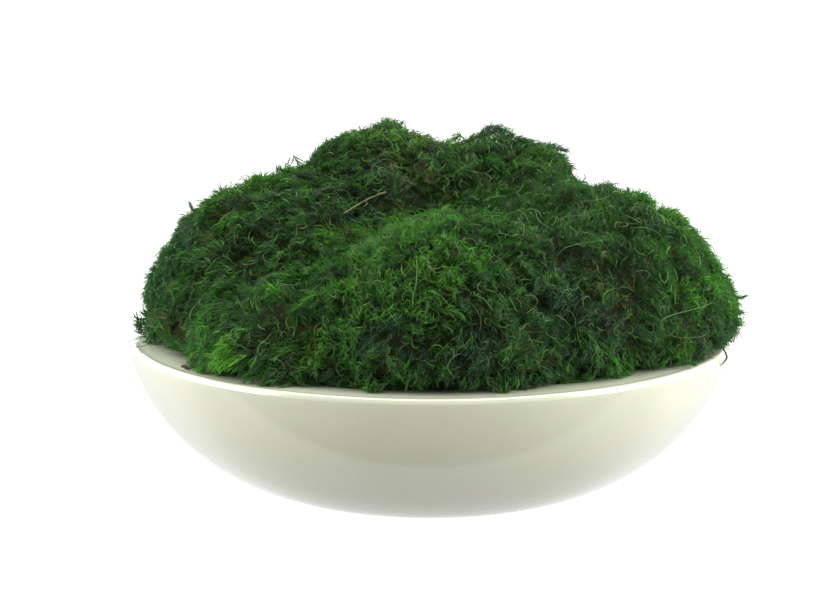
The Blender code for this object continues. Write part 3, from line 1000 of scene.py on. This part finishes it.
def loose_curls(places, normals, amount, lengths, curl, tone, light):
    """Long thin stems that wander and curl over the moss, lifting off it in their middle."""
    chosen = RNG.choice(len(places), amount, replace=False)
    start, normal = places[chosen], normals[chosen]
    heading = unit(across(RNG.normal(size=(amount, 3)), normal))
    length = RNG.uniform(*lengths, amount)
    turning = jitter(curl, amount)
    change = jitter(curl, amount)
    points = np.empty((amount, CURL_POINTS, 3))
    sides = np.empty_like(points)
    points[:, 0] = start + RNG.uniform(*CURL_ROOTS, amount)[:, None] * normal
    width = RNG.uniform(*CURL_WIDTH, amount)
    lift = RNG.uniform(*CURL_LIFT, amount)
    for k in range(CURL_POINTS):
        along = k / (CURL_POINTS - 1)
        angle = (turning * along + change * along**2)[:, None]
        forward = turned_about(normal, heading, angle)
        forward = unit(forward + (lift * math.cos(math.pi * along))[:, None] * normal)
        flat = unit(np.cross(forward, normal) + 0.4 * normal)
        taper = min(1.0, 0.45 + 3.0 * along, 0.25 + 2.2 * (1.0 - along))
        sides[:, k] = flat * (width / 2 * taper)[:, None]
        if k + 1 < CURL_POINTS:
            points[:, k + 1] = points[:, k] + forward * (length / (CURL_POINTS - 1))[:, None]
    tones = tone + jitter(0.04, amount)
    shades = np.repeat((light * RNG.uniform(0.45, 1.0, amount))[:, None], CURL_POINTS, axis=1)
    # painted shade where a curl leaves the moss
    shades[:, 0] *= 0.4
    return settled(points), sides, tones, shades


def make_curls(grown, heap, material):
    """Loose stems all over, and those that the photograph shows one by one."""
    clear = [(seen > 0.5) & (crowns[:, 2] > CURLS_START) for crowns, _, seen in grown]
    places = np.vstack([crowns[free] for (crowns, _, _), free in zip(grown, clear)])
    normals = np.vstack([outward[free] for (_, outward, _), free in zip(grown, clear)])
    shape = Shape()
    for curls in CURLS:
        shape.add_strips(*loose_curls(places, normals, *curls))
    for tone, light, diameter, pixels in STRANDS.values():
        lifts = STRAND_LIFT * varied(pixels, [0, 0.2, 0.8, 1], [0.3, 1, 1, 0.5])
        path = smooth_path([heap.seen_at(pixel, float(lift)) for pixel, lift in zip(pixels, lifts)], 5)
        diameters = diameter * varied(path, [0, 0.15, 0.8, 1], [0.5, 1, 0.85, 0.25])
        # painted shade: darker at the ends, where the stem dips towards the moss
        shades = light * varied(path, [0, 0.2, 1], [0.7, 1, 0.9])
        shape.add_stem(path, diameters, tone, shades)
    shape.piece("moss_curls", material)


def sprig_leaves(root, tip, breadth, tone, light):
    """Short leaves all round a straight stem, longest in its middle."""
    amount = int(np.linalg.norm(np.subtract(tip, root)) / SPRIG_LEAF_SPACING)
    share = (np.arange(amount) + 0.5) / amount
    stem = unit(np.subtract(tip, root))[None].repeat(amount, axis=0)
    starts = np.array(root) + share[:, None] * np.subtract(tip, root)
    first = unit(np.cross(stem, UP + (0.3, 0.1, 0.0)))
    out = turned_about(stem, first, (np.arange(amount) * GOLDEN_ANGLE)[:, None])
    flare = np.radians(62.0 - 40.0 * share)[:, None]
    headings = unit(np.cos(flare) * stem + np.sin(flare) * out)
    lengths = breadth * (0.55 + 1.1 * share * (1.3 - share)) * RNG.uniform(0.8, 1.2, amount)
    widths = LEAF_WIDTH * RNG.uniform(0.8, 1.2, amount)
    bends = np.radians(RNG.uniform(10.0, 50.0, amount))
    points, sides = bent_strips(starts, headings, stem, bends, lengths, widths, LEAF_POINTS)
    tones = tone + jitter(0.04, amount)
    return points, sides, tones, leaf_shades(light * RNG.uniform(0.7, 1.2, amount))


def make_sprigs(material):
    shape = Shape()
    for root, tip, breadth, tone, light in SPRIGS:
        shape.add_strips(*sprig_leaves(root, tip, breadth, tone, light))
        path = np.linspace(root, tip, 6)
        shape.add_stem(path, np.linspace(*SPRIG_STEM, 6), OLIVE, np.full(6, 0.5 * light))
    path = smooth_path([seen_in_plane(pixel, HANGING_FROND_Y) for pixel in HANGING_FROND_PIXELS], 4)
    diameters = varied(path, [0.0, 0.4, 0.75, 1.0], [0.0008, 0.0010, 0.0011, 0.0003])
    shape.add_stem(path, diameters, FOREST, np.full(len(path), 0.55))
    shape.piece("moss_sprigs", material)


def make_twig(heap, material):
    shape = Shape()
    path = smooth_path([heap.seen_at(pixel, TWIG_LIFT) for pixel in TWIG_PIXELS], 6)
    along = np.linspace(0.0, 1.0, len(path))
    knots = 1.0 + 0.12 * np.sin(23.0 * along) + 0.1 * np.sin(9.0 * along)
    taper = varied(path, [0, 0.1, 1], [0.4, 0.8, 1.1])
    shape.add_stem(path, TWIG_DIAMETER * knots * taper, STRAW, along, 7)
    side = smooth_path([heap.seen_at(pixel, TWIG_SHOOT_LIFT) for pixel in TWIG_SHOOT_PIXELS], 5)
    shape.add_stem(side, np.linspace(0.8, 0.35, len(side)) * TWIG_DIAMETER, STRAW, np.ones(len(side)), 6)
    shape.piece("straw_twig", material)


def make_rim_litter(material):
    """Thin hairs and one flake of bark that have come to lie over the rim."""
    shape = Shape()
    for root, tip, sag in RIM_HAIRS:
        middle = (np.array(root) + np.array(tip)) / 2 + (0.0, 0.3 * sag, sag)
        path = smooth_path([root, middle, tip], 6)
        shape.add_stem(path, np.linspace(1.0, 0.5, len(path)) * HAIR_DIAMETER, RUST, np.ones(len(path)), 4)
    length, width, height = BARK_FLAKE_SIZE
    along = np.linspace(0.0, 1.0, 9)
    path = np.array(BARK_FLAKE) + np.stack([length * (along - 0.5), -0.4 * length * (along - 0.5),
                                            0.3 * height * np.sin(7.0 * along)], axis=1)
    ragged = varied(path, [0, 0.15, 0.55, 0.8, 1], [0.25, 0.8, 1.0, 0.6, 0.2])
    shape.add_stem(path, 0.5 * (width + height) * ragged, RUST, np.ones(9), 7)
    shape.piece("rim_litter", material)


# Bowl


def bezier(start, end, handle, steps):
    reach = handle * np.linalg.norm(end - start)
    first = start + reach * np.array([1.0, 0.0])
    second = end - reach * np.array([math.cos(RIM_LEAN), math.sin(RIM_LEAN)])
    t = np.linspace(0.0, 1.0, steps + 1)[:, None]
    return (1 - t) ** 3 * start + 3 * (1 - t) ** 2 * t * first + 3 * (1 - t) * t**2 * second + t**3 * end


def arc(middle, radius, start_degrees, end_degrees, steps):
    angle = np.radians(np.linspace(start_degrees, end_degrees, steps + 1))[:, None]
    return middle + radius * np.hstack([np.cos(angle), np.sin(angle)])


def bowl_profile():
    """(radius, height) from the middle of the inside floor, over the rim, to the foot's middle."""
    inner_top = np.array([RIM_INNER_RADIUS, BOWL_HEIGHT - RIM_FALL - RIM_INNER_ROUND])
    outer_top = np.array([RIM_RADIUS, BOWL_HEIGHT - LIP_ROUND])
    inside = bezier(np.array([FLOOR_RADIUS, FLOOR_HEIGHT]), inner_top, INNER_HANDLE, 24)
    outside = bezier(np.array([BELLY_START_RADIUS, FOOT_HEIGHT]), outer_top, OUTER_HANDLE, 48)
    inner_edge = arc(inner_top + (RIM_INNER_ROUND, 0.0), RIM_INNER_ROUND, 180, 90, 6)[1:]
    outer_edge = arc(outer_top - (LIP_ROUND, 0.0), LIP_ROUND, 90, 0, 10)
    foot = [(FOOT_RADIUS + 0.0008, FOOT_HEIGHT), (FOOT_RADIUS, 0.0008), (FOOT_RADIUS - 0.0008, 0.0)]
    underside = [(FOOT_RADIUS * 0.6, 0.0), (0.0, 0.0)]
    middle = [(0.0, FLOOR_HEIGHT)]
    return np.vstack([middle, inside, inner_edge, outer_edge, outside[-2::-1], foot, underside])


def bowl_form():
    profile = bowl_profile()
    turns = np.linspace(0.0, 2 * math.pi, TURN_STEPS, endpoint=False)
    ring = np.stack([np.cos(turns), np.sin(turns)], axis=1)
    rows = profile[1:-1]
    corners = np.empty((len(rows), TURN_STEPS, 3))
    corners[..., :2] = rows[:, None, :1] * ring[None]
    corners[..., 2] = rows[:, None, 1]
    corners = np.vstack([corners.reshape(-1, 3), [0.0, 0.0, profile[0, 1]], [0.0, 0.0, profile[-1, 1]]])
    top, bottom = len(corners) - 2, len(corners) - 1
    step = np.arange(TURN_STEPS)
    after = (step + 1) % TURN_STEPS
    triangles = [np.stack([np.full(TURN_STEPS, top), step, after], axis=1)]
    for row in range(len(rows) - 1):
        a, b = row * TURN_STEPS + step, row * TURN_STEPS + after
        c, d = a + TURN_STEPS, b + TURN_STEPS
        triangles += [np.stack([a, c, d], axis=1), np.stack([a, d, b], axis=1)]
    last = (len(rows) - 1) * TURN_STEPS
    triangles.append(np.stack([np.full(TURN_STEPS, bottom), last + after, last + step], axis=1))
    return corners, np.vstack(triangles)


def make_glazed_bowl(material):
    corners, triangles = bowl_form()
    mesh = bpy.data.meshes.new("bowl_glazed")
    mesh.from_pydata(corners.tolist(), [], triangles.tolist())
    mesh.shade_smooth()
    mesh.materials.append(material)
    bowl = linked("bowl_glazed", mesh)
    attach(bowl, "root")
    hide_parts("bowl")


# Stage


def camera_place():
    level = CAMERA_DISTANCE * math.cos(CAMERA_ELEVATION)
    return CAMERA_PIVOT + Vector((0.0, -level, CAMERA_DISTANCE * math.sin(CAMERA_ELEVATION)))


def camera_ray(u, v):
    """From the camera through a pixel of the photograph."""
    eye = camera_place()
    ahead = (CAMERA_AIM - eye).normalized()
    right = ahead.cross(Vector(UP)).normalized()
    up = right.cross(ahead)
    pixels = LENS_MM / SENSOR_MM * PHOTO_WIDTH
    ray = ahead + right * ((u - PHOTO_WIDTH / 2) / pixels) + up * ((PHOTO_HEIGHT / 2 - v) / pixels)
    return eye, ray.normalized()


def seen_in_plane(pixel, y):
    """The place in an upright plane across the view that a pixel of the photograph shows."""
    eye, ray = camera_ray(*pixel)
    return np.array(eye + ray * ((y - eye.y) / ray.y))


def make_camera():
    data = bpy.data.cameras.new("camera")
    data.lens = LENS_MM
    data.sensor_width = SENSOR_MM
    camera = linked("camera", data)
    camera.location = camera_place()
    camera.rotation_euler = (CAMERA_AIM - camera.location).to_track_quat("-Z", "Y").to_euler()
    bpy.context.scene.camera = camera


def facing_strength(tree, vector):
    """The studio's light by the direction it comes from: dim in front, bright beside, less behind."""
    direction = add_node(tree, "VectorMath", {0: vector}, operation="NORMALIZE").outputs["Vector"]
    backward = add_node(tree, "VectorMath", {0: direction, 1: BRIGHT_WAY}, operation="DOT_PRODUCT")
    rising = span(tree, backward.outputs["Value"], (-1.00, -0.30), FRONT_TO_SIDE, smooth=True)
    falling = span(tree, backward.outputs["Value"], (0.0, 1.0), (1.0, BACK_SHARE), smooth=True)
    return calculated(tree, "MULTIPLY", rising, falling)


def mirrored_strength(tree):
    """How bright the glaze mirrors the floor: dark in front of FLOOR_EDGE, brightest beside the bowl."""
    where = part_of(tree, tree.nodes.new("ShaderNodeNewGeometry").outputs["Position"], "Y")
    edge = (FLOOR_EDGE - 0.006, FLOOR_EDGE + 0.006)
    near = span(tree, where, edge, MIRRORED_FRONT_TO_NEAR, smooth=True)
    beside = span(tree, where, FLOOR_BESIDE, (0.0, MIRRORED_BESIDE), smooth=True)
    return calculated(tree, "ADD", near, beside)


def make_floor():
    """Pale and all but shadowless to the eye, with a light of its own for the moss and for the glaze."""
    mesh = bpy.data.meshes.new("floor")
    mesh.from_pydata([(-6, -6, 0), (6, -6, 0), (6, 6, 0), (-6, 6, 0)], [], [(0, 1, 2, 3)])
    material, tree, shader = new_material("floor", 0.9)
    shader.inputs["Base Color"].default_value = (*FLOOR_GREY, 1.0)
    shader.inputs["Emission Color"].default_value = (1.0, 1.0, 1.0, 1.0)
    shader.inputs["Emission Strength"].default_value = FLOOR_GLOW
    path = tree.nodes.new("ShaderNodeLightPath")
    inputs = {"Factor": path.outputs["Is Diffuse Ray"], "A": mirrored_strength(tree), "B": FLOOR_LIGHT}
    strength = add_node(tree, "Mix", inputs).outputs["Result"]
    thrown = add_node(tree, "Emission", {"Strength": strength})
    show_both(tree, path.outputs["Is Camera Ray"], thrown.outputs["Emission"], shader.outputs["BSDF"])
    mesh.materials.append(material)
    floor = linked("floor", mesh)


def make_light(name, location, size, watts):
    data = bpy.data.lights.new(name, "AREA")
    data.shape = "RECTANGLE"
    data.size, data.size_y = size
    data.energy = watts
    light = linked(name, data)
    light.location = location
    light.rotation_euler = (Vector(LIT_POINT) - Vector(location)).to_track_quat("-Z", "Y").to_euler()


def make_world():
    """White behind, beside and above the object, dimmer on the camera's side."""
    world = bpy.data.worlds.new("studio")
    world.use_nodes = True
    bpy.context.scene.world = world
    tree = world.node_tree
    background = tree.nodes["Background"]
    background.inputs["Color"].default_value = (1.0, 1.0, 1.0, 1.0)
    direction = tree.nodes.new("ShaderNodeTexCoord").outputs["Generated"]
    tree.links.new(facing_strength(tree, direction), background.inputs["Strength"])
    white = add_node(tree, "Background", {"Color": (1.0, 1.0, 1.0, 1.0)})
    seen = tree.nodes.new("ShaderNodeLightPath").outputs["Is Camera Ray"]
    show_both(tree, seen, background.outputs["Background"], white.outputs["Background"], "World Output")


def make_stage():
    make_camera()
    make_floor()
    make_world()
    for light in LIGHTS:
        make_light(*light)
    bpy.context.scene.view_settings.view_transform = "Standard"


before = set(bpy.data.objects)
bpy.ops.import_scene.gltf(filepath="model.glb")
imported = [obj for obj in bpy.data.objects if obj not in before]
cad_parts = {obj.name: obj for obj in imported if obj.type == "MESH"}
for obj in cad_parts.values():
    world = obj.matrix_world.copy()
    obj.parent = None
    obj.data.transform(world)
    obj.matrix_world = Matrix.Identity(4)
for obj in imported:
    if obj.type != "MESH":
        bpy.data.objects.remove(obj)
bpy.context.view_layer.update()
make_stage()
make_glazed_bowl(glaze_material())
moss_heap = Heap(CLUMP_LOOKS)
leaf = leaf_material()
make_packing(moss_heap, leaf)
all_grown = [make_clump(clump, moss_heap, leaf) for clump in CLUMP_LOOKS]
make_curls(all_grown, moss_heap, leaf)
make_sprigs(leaf)
make_twig(moss_heap, stem_material("straw", STRAW_DARK, STRAW_LIGHT, STRAW_GRAIN))
make_rim_litter(stem_material("bark", BARK_DARK, BARK_LIGHT, BARK_GRAIN))
